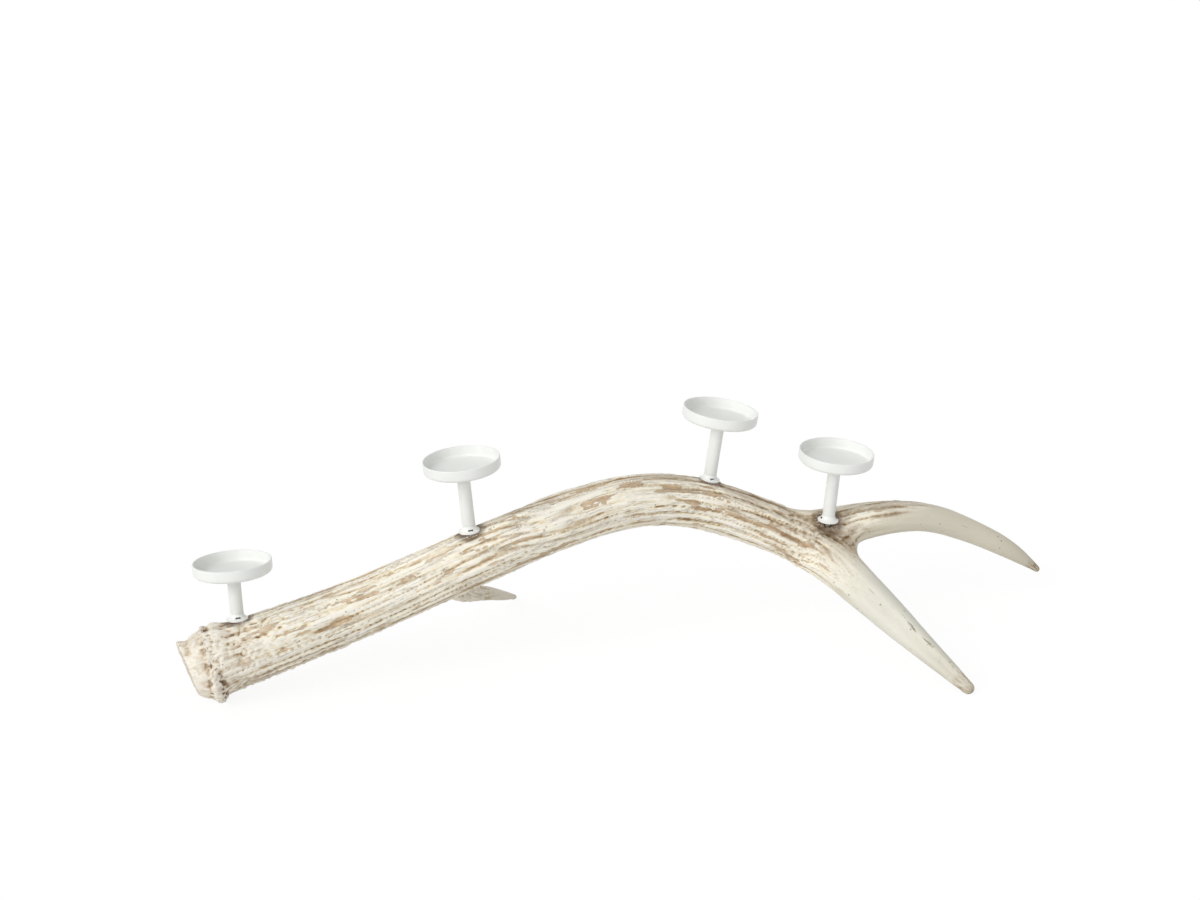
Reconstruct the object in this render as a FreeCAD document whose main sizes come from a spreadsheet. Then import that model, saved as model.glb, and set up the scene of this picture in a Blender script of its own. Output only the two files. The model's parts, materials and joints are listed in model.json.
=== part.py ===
"""Antler candle holder: one shed antler standing like a bridge, with four screwed-on candle cups.

Frame: +Z up, +X along the antler from the burr to the fork, +Y towards the back.
The origin is the bottom centre of the whole object's box. Millimetres.
"""
import FreeCAD
import Part
import math
import os

import Sketcher
from FreeCAD import Placement, Rotation, Vector

doc = FreeCAD.newDocument("antler_candle_holder")

# Driving dimensions: name, value in millimetres (degrees for the leans), what it is
SIZES = [
    ("arch_span", 495, "burr end to front tine tip, along X"),
    ("arch_rise", 88.5, "crown of the beam above the line from the burr to the front tine tip"),
    ("arch_sweep", 136, "how far the crown lies behind the burr"),
    ("pedicle_diameter", 36, "stump below the coronet"),
    ("burr_trim", 6, "middle of the burr's slanted end face, along the beam from the burr end"),
    ("burr_tilt", 18, "burr's end face, tilted from upright, in degrees"),
    ("burr_turn", 20, "burr's end face, turned to the back, in degrees"),
    ("coronet_diameter", 53, "crest of the rough ring round the burr"),
    ("coronet_along", 20.8, "burr end to the crest of the coronet"),
    ("coronet_step", 4.5, "crest of the coronet to the beam behind it, along the beam"),
    ("coronet_knob", 2.4, "height of the coronet's knobs"),
    ("beam_root_diameter", 41.5, "beam past the coronet, across its ridges"),
    ("beam_middle_diameter", 37, "beam at its crown, across its ridges"),
    ("beam_fork_diameter", 34, "beam just before the fork"),
    ("gutter_depth", 1.8, "depth of the lengthwise gutters"),
    ("front_tine_diameter", 21, "front tine at its middle"),
    ("front_tip_diameter", 8.5, "front tine at its blunt tip"),
    ("rear_root_along", 432.7, "rear tine's root, along the beam from the burr end"),
    ("rear_reach_along", 180, "rear tine from its root to its tip, along X"),
    ("rear_reach_back", 66, "rear tine from its root to its tip, along Y"),
    ("rear_tip_height", 16, "tip of the rear tine above the table"),
    ("rear_arch", 28, "crown of the rear tine above the line from its root to its tip"),
    ("rear_root_diameter", 28.5, "rear tine at the fork"),
    ("rear_middle_diameter", 20.5, "rear tine at its middle"),
    ("rear_outer_diameter", 13.3, "rear tine near its tip"),
    ("rear_tip_diameter", 5, "rear tine at its tip"),
    ("brow_root_along", 179.7, "brow tine's root, along the beam from the burr end"),
    ("brow_reach_along", 42, "brow tine from its root to its tip, along X"),
    ("brow_reach_back", 130, "brow tine from its root to its tip, along Y"),
    ("brow_sag", 5, "lowest of the brow tine's bow below the line from its root to its tip"),
    ("brow_root_diameter", 20, "brow tine at the beam"),
    ("brow_middle_diameter", 11.5, "brow tine at its middle"),
    ("brow_outer_diameter", 6.4, "brow tine near its tip"),
    ("brow_tip_diameter", 4.2, "brow tine at its tip"),
    ("foot_flat", 0.6, "depth of the flats ground on the three points that stand on the table"),
    ("cup_diameter", 50, "outside of a candle cup"),
    ("cup_height", 8, "outside height of a candle cup"),
    ("cup_sheet", 0.9, "sheet that the cups are pressed from"),
    ("cup_corner", 2.4, "outside radius between a cup's floor and wall"),
    ("cup_bevel", 0.25, "bevels along a cup's rim"),
    ("post_diameter", 8.5, "candle posts"),
    ("post_tall", 42, "foot of a tall post to the underside of its cup"),
    ("post_short", 30.5, "foot of the short post to the underside of its cup"),
    ("post_bevel", 0.4, "bevel at a post's top"),
    ("spigot_diameter", 6.9, "reduced foot of a post, inside the collar"),
    ("spigot_lift", 1.2, "end of the spigot above the foot of its collar"),
    ("collar_diameter", 14, "flared rim of a foot collar"),
    ("collar_height", 4.5, "height of a foot collar"),
    ("collar_sheet", 0.7, "thickness of a foot collar at its rim"),
    ("collar_hollow", 2.2, "height of the hollow under a foot collar"),
    ("slot_width", 3.2, "width of a slot in the flare of a foot collar"),
    ("slot_reach", 1.1, "how far a collar slot runs out from the post"),
    ("slot_height", 2.6, "top of a collar slot above the collar's foot"),
    ("bolt_diameter", 5, "hanger bolts"),
    ("bolt_engagement", 8, "length of bolt screwed into a post"),
    ("bolt_depth", 22, "length of bolt screwed into the antler"),
    ("bolt_point", 4, "taper at a bolt's lower end"),
    ("rivet_head", 7, "countersunk head of a cup rivet"),
    ("rivet_shank", 3.6, "shank of a cup rivet"),
    ("rivet_length", 7, "length of a cup rivet below the cup"),
    ("fit_clearance", 0.05, "radial clearance between pieces that fit into each other"),
    ("hole_clearance", 0.15, "radial room round a bolt in the antler"),
    ("end_clearance", 1.5, "room past the end of a bolt or a rivet in its hole"),
    ("seat_clearance", 0.5, "radial room round a collar in its spot face"),
    ("seat_1_along", 40.2, "first post's seat, along the beam from the burr end"),
    ("seat_2_along", 201.2, "second post's seat"),
    ("seat_3_along", 369.7, "third post's seat"),
    ("seat_4_along", 459.7, "fourth post's seat"),
    ("seat_1_back", 3, "first post's seat, behind the middle of the beam"),
    ("seat_2_back", 0, "second post's seat"),
    ("seat_3_back", 4, "third post's seat"),
    ("seat_4_back", 6, "fourth post's seat"),
    ("lean_1_right", -3.4, "first post's lean to the right, in degrees"),
    ("lean_2_right", -5.3, "second post's lean"),
    ("lean_3_right", 8.1, "third post's lean"),
    ("lean_4_right", 5.0, "fourth post's lean"),
    ("lean_1_back", 3.2, "first post's lean to the back, in degrees"),
    ("lean_2_back", -2.1, "second post's lean"),
    ("lean_3_back", -1.0, "third post's lean"),
    ("lean_4_back", -3.9, "fourth post's lean"),
]
GUTTERS = 13
KNOBS = 14
RING_POINTS = 60
LOFT_DEGREE = 2
EDGE_POINTS = 80
# Rings below the coronet's crest, as shares of the way from the burr end to the crest
BURR_RINGS = (0, 0.25, 0.5, 0.75, 0.9)
COLLAR_SLOTS = 2

# Each holder's post, and how far its collar is turned, so that its slots face the way they should
HOLDERS = {1: ("post_short", -76), 2: ("post_tall", -76), 3: ("post_tall", -70), 4: ("post_tall", 10)}

# The beam's line from the burr end to the front tine's tip, as shares of span, sweep and rise
BEAM_LINE = [
    (-0.015, 0.036, -0.003),
    (0.025, 0.065, 0.044),
    (0.074, 0.114, 0.126),
    (0.198, 0.302, 0.337),
    (0.352, 0.482, 0.672),
    (0.508, 0.718, 0.953),
    (0.588, 0.843, 0.996),
    (0.669, 0.945, 0.913),
    (0.751, 0.993, 0.739),
    (0.813, 0.974, 0.576),
    (0.870, 0.790, 0.389),
    (0.939, 0.386, 0.197),
    (1.000, 0.121, 0.000),
]
# The tines' lines, as shares of the way along, the way back and the bow off a straight line
REAR_LINE = [
    (0.00, 0.00, 0.00),
    (0.17, 0.16, 0.38),
    (0.46, 0.38, 1.00),
    (0.70, 0.69, 0.80),
    (0.85, 0.85, 0.49),
    (1.00, 1.00, 0.00),
]
BROW_LINE = [
    (0.00, 0.00, 0.00),
    (0.30, 0.25, 1.00),
    (0.60, 0.58, 0.68),
    (0.80, 0.79, 0.38),
    (1.00, 1.00, 0.00),
]


class Size:
    """A size that keeps both its value and the expression that binds a property to the sheet."""

    def __init__(self, value, text):
        self.value = value
        self.text = text

    def joined(self, other, sign, value):
        text = other.text if isinstance(other, Size) else repr(other)
        return Size(value, f"({self.text} {sign} {text})")

    def __add__(self, other):
        return self.joined(other, "+", self.value + plain(other))

    def __sub__(self, other):
        return self.joined(other, "-", self.value - plain(other))

    def __mul__(self, other):
        return self.joined(other, "*", self.value * plain(other))

    def __truediv__(self, other):
        return self.joined(other, "/", self.value / plain(other))


def plain(amount):
    return amount.value if isinstance(amount, Size) else amount


def make_sheet():
    sheet = doc.addObject("Spreadsheet::Sheet", "sizes")
    for row, (name, value, meaning) in enumerate(SIZES, start=1):
        sheet.set(f"A{row}", meaning)
        sheet.set(f"B{row}", str(value))
        sheet.setAlias(f"B{row}", name)
    doc.recompute()
    return {name: Size(float(sheet.get(name)), f"sizes.{name}") for name, value, meaning in SIZES}


SHEET = make_sheet()


def size(name):
    return SHEET[name]


def number(name):
    return SHEET[name].value


# Revolved pieces

def origin_plane(body, role):
    return next(plane for plane in body.Origin.OriginFeatures if plane.Role == role)


def new_sketch(body, name, role):
    sketch = body.newObject("Sketcher::SketchObject", name)
    sketch.AttachmentSupport = [(origin_plane(body, role), "")]
    sketch.MapMode = "FlatFace"
    return sketch


def hold(sketch, geometry, point, direction, amount):
    """Keeps one coordinate of a sketch point at a size from the sheet."""
    if plain(amount) == 0:
        axis = -2 if direction == "DistanceX" else -1
        sketch.addConstraint(Sketcher.Constraint("PointOnObject", geometry, point, axis))
        return
    index = sketch.addConstraint(Sketcher.Constraint(direction, -1, 1, geometry, point, plain(amount)))
    if isinstance(amount, Size):
        sketch.setExpression(f"Constraints[{index}]", amount.text)


def profile(sketch, corners, arcs=None):
    """Draws a closed outline. arcs gives the centre of the arc that leaves a corner, by its number."""
    arcs = arcs or {}
    flat = [Vector(plain(across), plain(up), 0) for across, up in corners]
    ends = []
    for index, start in enumerate(flat):
        end = flat[(index + 1) % len(flat)]
        if index not in arcs:
            ends.append((sketch.addGeometry(Part.LineSegment(start, end)), 1, 2))
            continue
        centre = Vector(plain(arcs[index][0]), plain(arcs[index][1]), 0)
        circle = Part.Circle(centre, Vector(0, 0, 1), (start - centre).Length)
        turns_left = (start - centre).cross(end - start).z > 0
        first, last = (start, end) if turns_left else (end, start)
        arc = Part.ArcOfCircle(circle, circle.parameter(first), circle.parameter(last))
        geometry = sketch.addGeometry(arc)
        ends.append((geometry, 1, 2) if turns_left else (geometry, 2, 1))
        chord = end - start
        level = abs(chord.x) >= abs(chord.y)
        hold(sketch, geometry, 3, "DistanceY" if level else "DistanceX", arcs[index][1 if level else 0])
    for index, (geometry, start, end) in enumerate(ends):
        following = ends[(index + 1) % len(ends)]
        sketch.addConstraint(Sketcher.Constraint("Coincident", geometry, end, following[0], following[1]))
        hold(sketch, geometry, start, "DistanceX", corners[index][0])
        hold(sketch, geometry, start, "DistanceY", corners[index][1])


def turned_body(name, corners, arcs=None):
    """A body turned about its own Z axis."""
    body = doc.addObject("PartDesign::Body", name)
    body.Label = name
    sketch = new_sketch(body, f"{name}_profile", "XZ_Plane")
    profile(sketch, corners, arcs)
    turn = body.newObject("PartDesign::Revolution", f"{name}_turned")
    turn.Profile = sketch
    turn.ReferenceAxis = (sketch, ["V_Axis"])
    turn.Angle = 360
    return body


def make_cup(name):
    """A pressed dish, its underside at local zero, with a countersunk hole for the rivet."""
    outer = size("cup_diameter") / 2
    inner = outer - size("cup_sheet")
    bend = outer - size("cup_corner")
    lip = size("cup_height") - size("cup_bevel")
    hole_top = size("rivet_head") / 2 + size("fit_clearance")
    hole_foot = hole_top - size("cup_sheet")
    corners = [
        (hole_foot, 0),
        (bend, 0),
        (outer, size("cup_corner")),
        (outer, lip),
        (outer - size("cup_bevel"), size("cup_height")),
        (inner + size("cup_bevel"), size("cup_height")),
        (inner, lip),
        (inner, size("cup_corner")),
        (bend, size("cup_sheet")),
        (hole_top, size("cup_sheet")),
    ]
    bend_centre = (bend, size("cup_corner"))
    return turned_body(name, corners, {1: bend_centre, 7: bend_centre})


def make_rivet(name):
    """A countersunk rivet, flush with the cup's floor, in the cup's own frame."""
    head = size("rivet_head") / 2
    lift = size("rivet_length")
    corners = [
        (0, 0),
        (size("rivet_shank") / 2, 0),
        (size("rivet_shank") / 2, lift),
        (head - size("cup_sheet"), lift),
        (head, lift + size("cup_sheet")),
        (0, lift + size("cup_sheet")),
    ]
    return turned_body(name, corners)


def make_post(name, length):
    """A turned post with a spigot at its foot, a threaded bore below and the rivet's bore above."""
    outer = size("post_diameter") / 2
    spigot = size("spigot_diameter") / 2
    shoulder = size("collar_height") + size("fit_clearance")
    bore = size("bolt_diameter") / 2 + size("fit_clearance")
    bore_top = size("spigot_lift") + size("bolt_engagement") + size("end_clearance")
    pin = size("rivet_shank") / 2 + size("fit_clearance")
    pin_foot = length - size("rivet_length") - size("end_clearance")
    corners = [
        (bore, size("spigot_lift")),
        (spigot, size("spigot_lift")),
        (spigot, shoulder),
        (outer, shoulder),
        (outer, length - size("post_bevel")),
        (outer - size("post_bevel"), length),
        (pin, length),
        (pin, pin_foot),
        (0, pin_foot),
        (0, bore_top),
        (bore, bore_top),
    ]
    return turned_body(name, corners)


def make_collar(name):
    """A flared collar: flush with the post above, hollow below, slit beside the post."""
    post = size("post_diameter") / 2
    rim = size("collar_diameter") / 2
    bore = size("spigot_diameter") / 2 + size("fit_clearance")
    width = rim - post
    drop = size("collar_height") - size("collar_sheet")
    flare = (width * width + drop * drop) / (width * 2)
    corners = [
        (bore, size("collar_hollow")),
        (rim - size("collar_sheet"), 0),
        (rim, 0),
        (rim, size("collar_sheet")),
        (post, size("collar_height")),
        (bore, size("collar_height")),
    ]
    body = turned_body(name, corners, {3: (post + flare, size("collar_height"))})
    half = size("slot_width") / 2
    reach = post + size("slot_reach")
    sketch = new_sketch(body, f"{name}_slot_sketch", "XY_Plane")
    profile(sketch, [(0, half * -1), (reach, half * -1), (reach, half), (0, half)])
    slot = body.newObject("PartDesign::Pocket", f"{name}_slot")
    slot.Profile = sketch
    slot.Reversed = True
    slot.setExpression("Length", "sizes.slot_height")
    pattern = body.newObject("PartDesign::PolarPattern", f"{name}_slots")
    pattern.Originals = [slot]
    pattern.Axis = (sketch, ["N_Axis"])
    pattern.Angle = 360
    pattern.Occurrences = COLLAR_SLOTS
    body.Tip = pattern
    return body


def make_bolt(name):
    """A hanger bolt with its tip at local zero: a tapered point below, a bevelled end above."""
    radius = size("bolt_diameter") / 2
    length = size("bolt_depth") + size("spigot_lift") + size("bolt_engagement")
    bevel = radius / 4
    corners = [
        (0, 0),
        (bevel, 0),
        (radius, size("bolt_point")),
        (radius, length - bevel),
        (radius - bevel, length),
        (0, length),
    ]
    return turned_body(name, corners)


# Antler

def smooth_line(points):
    line = Part.BSplineCurve()
    line.interpolate(points)
    return line


def on_line(line, distance):
    return line.value(line.parameterAtDistance(distance))


def mixed(stations, share):
    """The value at a share of the way along, between the stations on either side."""
    for (start, low), (end, high) in zip(stations, stations[1:]):
        if share <= end:
            return low + (high - low) * (share - start) / (end - start)
    return stations[-1][1]


def rings(line, places, diameters, waves):
    """Points round a line, ring by ring. The rings' diameters, and the depth of each count of waves
    let into them, follow stations given as distances along the line."""
    across = Vector(0, 1, 0)
    result = []
    for distance in places:
        place = line.parameterAtDistance(distance)
        along = line.tangent(place)[0]
        across = (across - along * across.dot(along)).normalize()
        up = along.cross(across)
        radius = mixed(diameters, distance) / 2
        sway = math.sin(7 * distance / line.length())
        ring = []
        for step in range(RING_POINTS):
            angle = 2 * math.pi * step / RING_POINTS
            reach = radius
            for count, stations in waves.items():
                main = math.cos(count * angle + 2 * sway)
                side = math.cos((count - 4) * angle - 3 * sway)
                reach -= mixed(stations, distance) / 2 * (1 - 0.65 * main - 0.35 * side)
            out = across * math.cos(angle) + up * math.sin(angle)
            ring.append(line.value(place) + out * reach)
        result.append(ring)
    return result


def lofted(name, ring_list):
    """A smooth solid through rings of points, all with the same steps round them."""
    steps = [float(step) for step in range(RING_POINTS + 1)]
    sections = []
    for ring in ring_list:
        curve = Part.BSplineCurve()
        curve.interpolate(Points=ring, PeriodicFlag=True, Parameters=steps)
        sections.append(Part.Wire([curve.toShape()]))
    solid = doc.addObject("Part::Feature", name)
    solid.Shape = Part.makeLoft(sections, True, False, False, LOFT_DEGREE)
    return solid


def lowest(ring_list):
    return min(point.z for ring in ring_list for point in ring)


def to_tip(places, tip, length):
    """The rings' places, ever closer towards a rounded tip."""
    close = [length - tip / 2 * step for step in (8, 5, 3, 1.8, 1, 0.5, 0.18, 0)]
    return [place for place in places if place < close[0] - tip] + close


def tip_stations(tip, length):
    rounding = ((1, 1), (0.5, 0.87), (0.18, 0.57), (0, 0.25))
    return [(length - tip / 2 * step, tip * share) for step, share in rounding]


def make_beam_line(burr_height, tip_height):
    points = []
    for along, back, rise in BEAM_LINE:
        base = burr_height + (tip_height - burr_height) * along
        points.append(Vector(along * number("arch_span"), back * number("arch_sweep"),
                             base + rise * number("arch_rise")))
    return smooth_line(points)


def beam_rings(line):
    """Burr, coronet, main beam and front tine: one sweep from the burr to the front tip."""
    length = line.length()
    tip = number("front_tip_diameter")
    pedicle = number("pedicle_diameter")
    root = number("beam_root_diameter")
    fork = number("beam_fork_diameter")
    tine = number("front_tine_diameter")
    crest = number("coronet_diameter")
    ring = number("coronet_along")
    step = number("coronet_step")
    diameters = [
        (0, pedicle),
        (0.5 * ring, pedicle),
        (0.75 * ring, 0.6 * pedicle + 0.4 * crest),
        (0.9 * ring, 0.25 * pedicle + 0.75 * crest),
        (ring, crest),
        (ring + 0.4 * step, 0.96 * crest),
        (ring + step, 1.08 * root),
        (0.055 * length, 1.05 * root),
        (0.12 * length, root),
        (0.46 * length, number("beam_middle_diameter")),
        (0.70 * length, fork),
        (0.80 * length, 0.6 * fork + 0.4 * tine),
        (0.87 * length, tine),
        (0.92 * length, 0.9 * tine),
    ] + tip_stations(tip, length)
    gutter = number("gutter_depth")
    knob = number("coronet_knob")
    waves = {
        GUTTERS: [(0, 0), (ring, 0), (0.2 * length, gutter), (0.7 * length, gutter), (0.9 * length, 0)],
        KNOBS: [(0, 0), (0.6 * ring, 0), (ring, knob), (ring + step, 0)],
    }
    places = [ring * share for share in BURR_RINGS]
    places += [ring + step * share for share in (0, 0.4, 1, 1.8, 3.2, 5)]
    places += [length * (0.1 + 0.06 * stretch) for stretch in range(14)]
    return rings(line, to_tip(places, tip, length), diameters, waves)


def settled_beam():
    """The beam's line and rings, with the burr and the front tip lowered onto the table."""
    burr_height = 0
    tip_height = 0
    for settle in range(3):
        line = make_beam_line(burr_height, tip_height)
        ring_list = beam_rings(line)
        half = len(ring_list) // 2
        burr_height -= lowest(ring_list[:half]) + number("foot_flat")
        tip_height -= lowest(ring_list[half:]) + number("foot_flat")
    return line, ring_list


def tine_rings(name, root, tip_height, shares, bow):
    """A side tine from its root inside the beam to its rounded tip, bowed up or down."""
    drop = tip_height - root.z
    line = smooth_line([
        root + Vector(along * number(f"{name}_reach_along"), back * number(f"{name}_reach_back"),
                      along * drop + off * bow)
        for along, back, off in shares
    ])
    length = line.length()
    tip = number(f"{name}_tip_diameter")
    width = number(f"{name}_root_diameter")
    middle = number(f"{name}_middle_diameter")
    diameters = [
        (0, width),
        (0.16 * length, width),
        (0.46 * length, middle),
        (0.85 * length, number(f"{name}_outer_diameter")),
    ] + tip_stations(tip, length)
    gutter = number("gutter_depth")
    waves = {GUTTERS: [(0, 0.7 * gutter), (0.4 * length, 0.4 * gutter), (0.7 * length, 0)]}
    places = [0.08 * length * step for step in range(12)]
    return rings(line, to_tip(places, tip, length), diameters, waves)


def make_rear(line):
    root = on_line(line, number("rear_root_along"))
    return tine_rings("rear", root, number("rear_tip_height"), REAR_LINE, number("rear_arch"))


def settled_brow(line):
    """The brow tine's rings, with its tip lowered onto the table."""
    root = on_line(line, number("brow_root_along"))
    tip_height = 0
    for settle in range(3):
        ring_list = tine_rings("brow", root, tip_height, BROW_LINE, -number("brow_sag"))
        tip_height -= lowest(ring_list) + number("foot_flat")
    return ring_list


def cut(name, base, tool):
    result = doc.addObject("Part::Cut", name)
    result.Label = name
    result.Base = base
    result.Tool = tool
    return result


def make_burr_saw(line):
    """What is cut away at the burr, so that its end face is slanted."""
    saw = doc.addObject("Part::Box", "burr_saw")
    saw.setExpression("Length", "sizes.coronet_diameter")
    saw.setExpression("Width", "sizes.coronet_diameter * 2")
    saw.setExpression("Height", "sizes.coronet_diameter * 2")
    reach = number("coronet_diameter")
    slant = Rotation(number("burr_turn"), -number("burr_tilt"), 0)
    face = Placement(on_line(line, number("burr_trim")), slant)
    saw.Placement = face.multiply(Placement(Vector(-reach, -reach, -reach), Rotation()))
    return saw


def make_blank(line, beam, brow, rear):
    """The grown antler, before its feet are ground and its seats are cut."""
    blank = doc.addObject("Part::MultiFuse", "antler_blank")
    blank.Shapes = [
        cut("beam", lofted("grown_beam", beam), make_burr_saw(line)),
        lofted("brow_tine", brow),
        lofted("rear_tine", rear),
    ]
    doc.recompute()
    return blank


def seat_place(line, blank, holder):
    """The foot of a post: where its axis comes out of the antler's back, with Z along the axis."""
    lean_right = math.radians(number(f"lean_{holder}_right"))
    lean_back = math.radians(number(f"lean_{holder}_back"))
    axis = Vector(math.tan(lean_right), math.tan(lean_back), 1).normalize()
    start = on_line(line, number(f"seat_{holder}_along")) + Vector(0, number(f"seat_{holder}_back"), 0)
    inside = blank.Shape.common(Part.makeLine(start, start + axis * number("arch_span")))
    foot = max((vertex.Point for vertex in inside.Vertexes), key=lambda point: point.dot(axis))
    return Placement(foot, Rotation(Vector(0, 0, 1), axis))


def moved_up(place, lift, turn=0):
    """A place shifted along its own Z axis and turned about it."""
    return place.multiply(Placement(Vector(0, 0, lift), Rotation(Vector(0, 0, 1), turn)))


def make_seat_tool(name):
    """What is cut away under a post: the collar's spot face above local zero, the bolt's hole below."""
    face = size("collar_diameter") / 2 + size("seat_clearance")
    hole = size("bolt_diameter") / 2 + size("hole_clearance")
    depth = size("bolt_depth") + size("end_clearance")
    corners = [
        (0, 0),
        (hole, 0),
        (hole, depth),
        (face, depth),
        (face, depth + size("collar_diameter")),
        (0, depth + size("collar_diameter")),
    ]
    return turned_body(name, corners)


def make_antler(blank, seats):
    """Grinds the standing flats, then sinks each post's seat."""
    table = doc.addObject("Part::Box", "table")
    table.setExpression("Length", "sizes.arch_span * 3")
    table.setExpression("Width", "sizes.arch_span * 3")
    table.setExpression("Height", "sizes.coronet_diameter")
    table.Placement.Base = Vector(-number("arch_span"), -number("arch_span"), -number("coronet_diameter"))
    antler = cut("antler_on_feet", blank, table)
    depth = number("bolt_depth") + number("end_clearance")
    for holder, place in seats.items():
        tool = make_seat_tool(f"seat_tool_{holder}")
        tool.Placement = moved_up(place, -depth)
        antler = cut(f"antler_with_seat_{holder}", antler, tool)
    antler.Label = "antler"
    return antler


def make_holder(holder, place):
    """One candle cup with its rivet, post, collar and bolt, on its seat."""
    post_size, collar_turn = HOLDERS[holder]
    length = size(post_size)
    pieces = [
        (make_cup(f"candle_cup_{holder}"), length.value, 0),
        (make_rivet(f"cup_rivet_{holder}"), length.value - number("rivet_length"), 0),
        (make_post(f"post_{holder}", length), 0, 0),
        (make_collar(f"foot_collar_{holder}"), 0, collar_turn),
        (make_bolt(f"hanger_bolt_{holder}"), -number("bolt_depth"), 0),
    ]
    for body, lift, turn in pieces:
        body.Placement = moved_up(place, lift, turn)
    return [body for body, lift, turn in pieces]


def check_all(parts):
    for item in doc.Objects:
        if "Invalid" in item.State or "Error" in item.State:
            raise RuntimeError(f"{item.Name} failed: {item.State}")
    for part in parts:
        if part.Shape.isNull() or not part.Shape.isValid():
            raise RuntimeError(f"{part.Label} has no valid shape")
        if len(part.Shape.Solids) != 1:
            raise RuntimeError(f"{part.Label} has {len(part.Shape.Solids)} solids")


def stand_on_origin(parts, ring_list):
    """Shifts everything so that the bottom centre of the whole box is at the origin."""
    box = FreeCAD.BoundBox()
    for ring in ring_list:
        for point in ring:
            box.add(point)
    for part in parts:
        for edge in part.Shape.Edges:
            for point in edge.discretize(EDGE_POINTS):
                box.add(point)
    shift = Placement(Vector(-box.Center.x, -box.Center.y, 0), Rotation())
    for part in parts:
        part.Placement = shift.multiply(part.Placement)
    return box


beam_line, beam = settled_beam()
brow = settled_brow(beam_line)
rear = make_rear(beam_line)
antler_blank = make_blank(beam_line, beam, brow, rear)
seats = {holder: seat_place(beam_line, antler_blank, holder) for holder in HOLDERS}
parts = [make_antler(antler_blank, seats)]
for holder, place in seats.items():
    parts += make_holder(holder, place)
doc.recompute()
check_all(parts)
box = stand_on_origin(parts, beam[len(BURR_RINGS):] + brow + rear)

os.makedirs("parts", exist_ok=True)
for part in parts:
    part.Shape.exportStep(f"parts/{part.Label}.step")
print(f"{len(parts)} parts, {box.XLength:.1f} x {box.YLength:.1f} x {box.ZMax:.1f} mm")
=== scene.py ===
"""Antler candle holder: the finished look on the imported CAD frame, in metres, seen by the photo's camera."""
import json
import math
from collections import namedtuple
from itertools import product

import bpy
import numpy as np
from mathutils import Matrix, Vector


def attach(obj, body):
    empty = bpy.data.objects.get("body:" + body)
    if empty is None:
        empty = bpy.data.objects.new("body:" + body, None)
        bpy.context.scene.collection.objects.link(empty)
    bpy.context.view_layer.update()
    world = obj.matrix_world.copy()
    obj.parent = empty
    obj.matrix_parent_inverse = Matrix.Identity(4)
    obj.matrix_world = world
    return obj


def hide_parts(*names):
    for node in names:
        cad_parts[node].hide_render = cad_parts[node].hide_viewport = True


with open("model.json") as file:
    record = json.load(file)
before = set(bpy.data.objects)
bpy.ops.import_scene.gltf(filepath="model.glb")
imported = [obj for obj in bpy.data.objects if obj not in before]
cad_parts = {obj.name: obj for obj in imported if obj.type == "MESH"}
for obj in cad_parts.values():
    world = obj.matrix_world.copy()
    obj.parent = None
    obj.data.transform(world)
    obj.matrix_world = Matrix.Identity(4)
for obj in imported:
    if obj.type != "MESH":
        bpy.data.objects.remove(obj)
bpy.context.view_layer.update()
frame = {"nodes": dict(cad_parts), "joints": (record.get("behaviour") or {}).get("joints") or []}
NODES = frame["nodes"]
TURNS = {joint["child"][-1]: joint for joint in frame["joints"] if joint["type"] == "hinge"}

MM = 0.001

# Grid of the antler's skin, sides of a turned piece, and how far the antler's grain is drawn out
VOXEL = 1.12 * MM
ROUND = 96
GRAIN_STRETCH = 16

# The antler's driving sizes in millimetres, as in the CAD source
SPAN, SWEEP, RISE = 495, 136, 88.5
START = (-278.1, -93.2)
BURR_HEIGHT, TIP_HEIGHT = 20.9, 1.7
CORONET = 20.8
REAR_ROOT, REAR_REACH, REAR_TIP_HEIGHT, REAR_ARCH = 432.7, (180, 66), 16, 28
BROW_ROOT, BROW_REACH, BROW_TIP_HEIGHT, BROW_SAG = 179.7, (42, 130), 0.7, 5

# The beam's line as shares of span, sweep and rise, and the tines' as shares of their reach and bow
BEAM_LINE = [
    (-0.015, 0.036, -0.003), (0.025, 0.065, 0.044), (0.074, 0.114, 0.126), (0.198, 0.302, 0.337),
    (0.352, 0.482, 0.672), (0.508, 0.718, 0.953), (0.588, 0.843, 0.996), (0.669, 0.945, 0.913),
    (0.751, 0.993, 0.739), (0.813, 0.974, 0.576), (0.870, 0.790, 0.389), (0.939, 0.386, 0.197),
    (1.000, 0.121, 0.000),
]
REAR_LINE = [
    (0, 0, 0), (0.17, 0.16, 0.38), (0.46, 0.38, 1), (0.70, 0.69, 0.80), (0.85, 0.85, 0.49), (1, 1, 0),
]
BROW_LINE = [(0, 0, 0), (0.30, 0.25, 1), (0.60, 0.58, 0.68), (0.80, 0.79, 0.38), (1, 1, 0)]

# Thickness along each branch: distance and diameter in millimetres
BEAM_THICKNESS = [
    (0, 36), (10, 36), (21, 53), (25, 45), (61, 42), (282, 37), (428, 34), (538, 21), (607, 8.5),
]
REAR_THICKNESS = [(0, 28.5), (33, 28.5), (95, 20.5), (176, 13.3), (204, 5)]
BROW_THICKNESS = [(0, 20), (24, 20), (70, 11.5), (130, 6.4), (151, 4.2)]

# How sharply a point belongs to its nearest branch, and the mixing of two branches that makes a crotch
BRANCH_CONTRAST = 6
CROTCH_MIX, FORK_MIX = (0.10, 0.60), (0.05, 0.5)

# Rounds of smoothing over the width of a rib, a crotch and a gutter, and how much of a gutter is filled
RIB_ROUNDS, CROTCH_ROUNDS, GUTTER_ROUNDS = 6, 30, 60
GUTTER_FILL = 0.5
LAST_SMOOTHING = 0.4

# What a millimetre over the rib's or the gutter's width, and the crust, add to the material's attributes
CLOSE_WEIGHT, WIDE_WEIGHT, CRUST_WEIGHT = 0.75, 0.26, 0.25

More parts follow.
